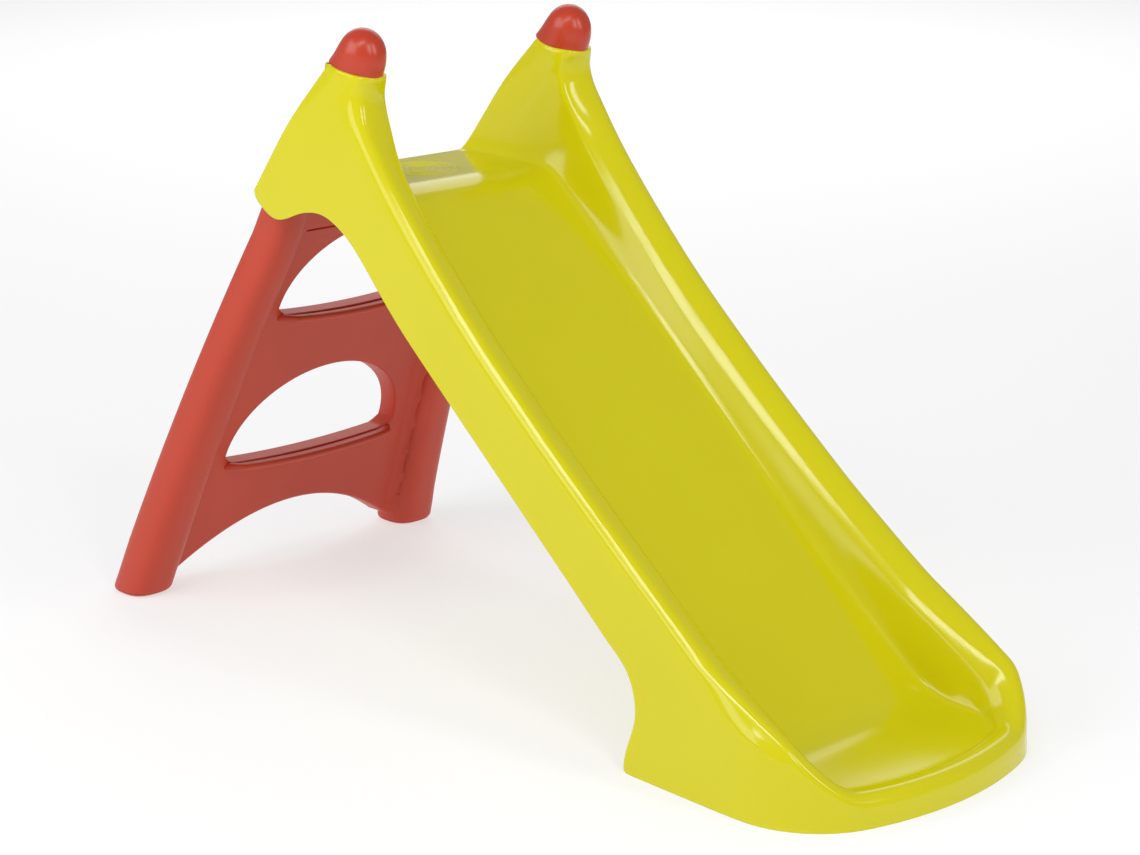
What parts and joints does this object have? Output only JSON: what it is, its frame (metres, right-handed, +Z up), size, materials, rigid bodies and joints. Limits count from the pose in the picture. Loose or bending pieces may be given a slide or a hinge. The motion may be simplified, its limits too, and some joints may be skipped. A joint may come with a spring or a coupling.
{
  "type": "toddler slide",
  "caption": "Folding indoor and outdoor toddler slide: a moulded chute with two horned sides and a low run-out, on a hinged moulded ladder with open steps and domed grip knobs.",
  "frame": {"origin": "on the floor, under the middle of the whole object's box", "axes": "+X across the slide, square to its mirror plane; the slide runs down towards -Y and the ladder stands at +Y; +Z up"},
  "size_m": [0.492, 1.1528, 0.729],
  "materials": {
    "chute_plastic": "glossy moulded polyethylene, lime yellow",
    "ladder_plastic": "satin moulded polypropylene, coral red",
    "knob_plastic": "satin gloss moulded polypropylene, coral red",
    "plated_steel": "zinc plated",
    "nylon": "natural moulded nylon"
  },
  "bodies": {
    "chute": {"slide_chute": "chute_plastic", "grip_knob_left": "knob_plastic", "grip_knob_right": "knob_plastic", "knob_washer_left": "plated_steel", "knob_washer_right": "plated_steel", "knob_screw_left": "plated_steel", "knob_screw_right": "plated_steel", "hinge_pin_left": "plated_steel", "hinge_pin_right": "plated_steel", "hinge_washer_left": "nylon", "hinge_washer_right": "nylon", "hinge_clip_left": "plated_steel", "hinge_clip_right": "plated_steel"},
    "ladder": {"ladder_frame": "ladder_plastic", "foot_cap_left": "ladder_plastic", "foot_cap_right": "ladder_plastic"}
  },
  "joints": [
    {"name": "ladder_fold", "type": "hinge", "parent": "chute", "child": "ladder", "pos_m": [0, 0.29464, 0.521], "axis": [-1, 0, 0], "range_deg": [0, 75]}
  ]
}
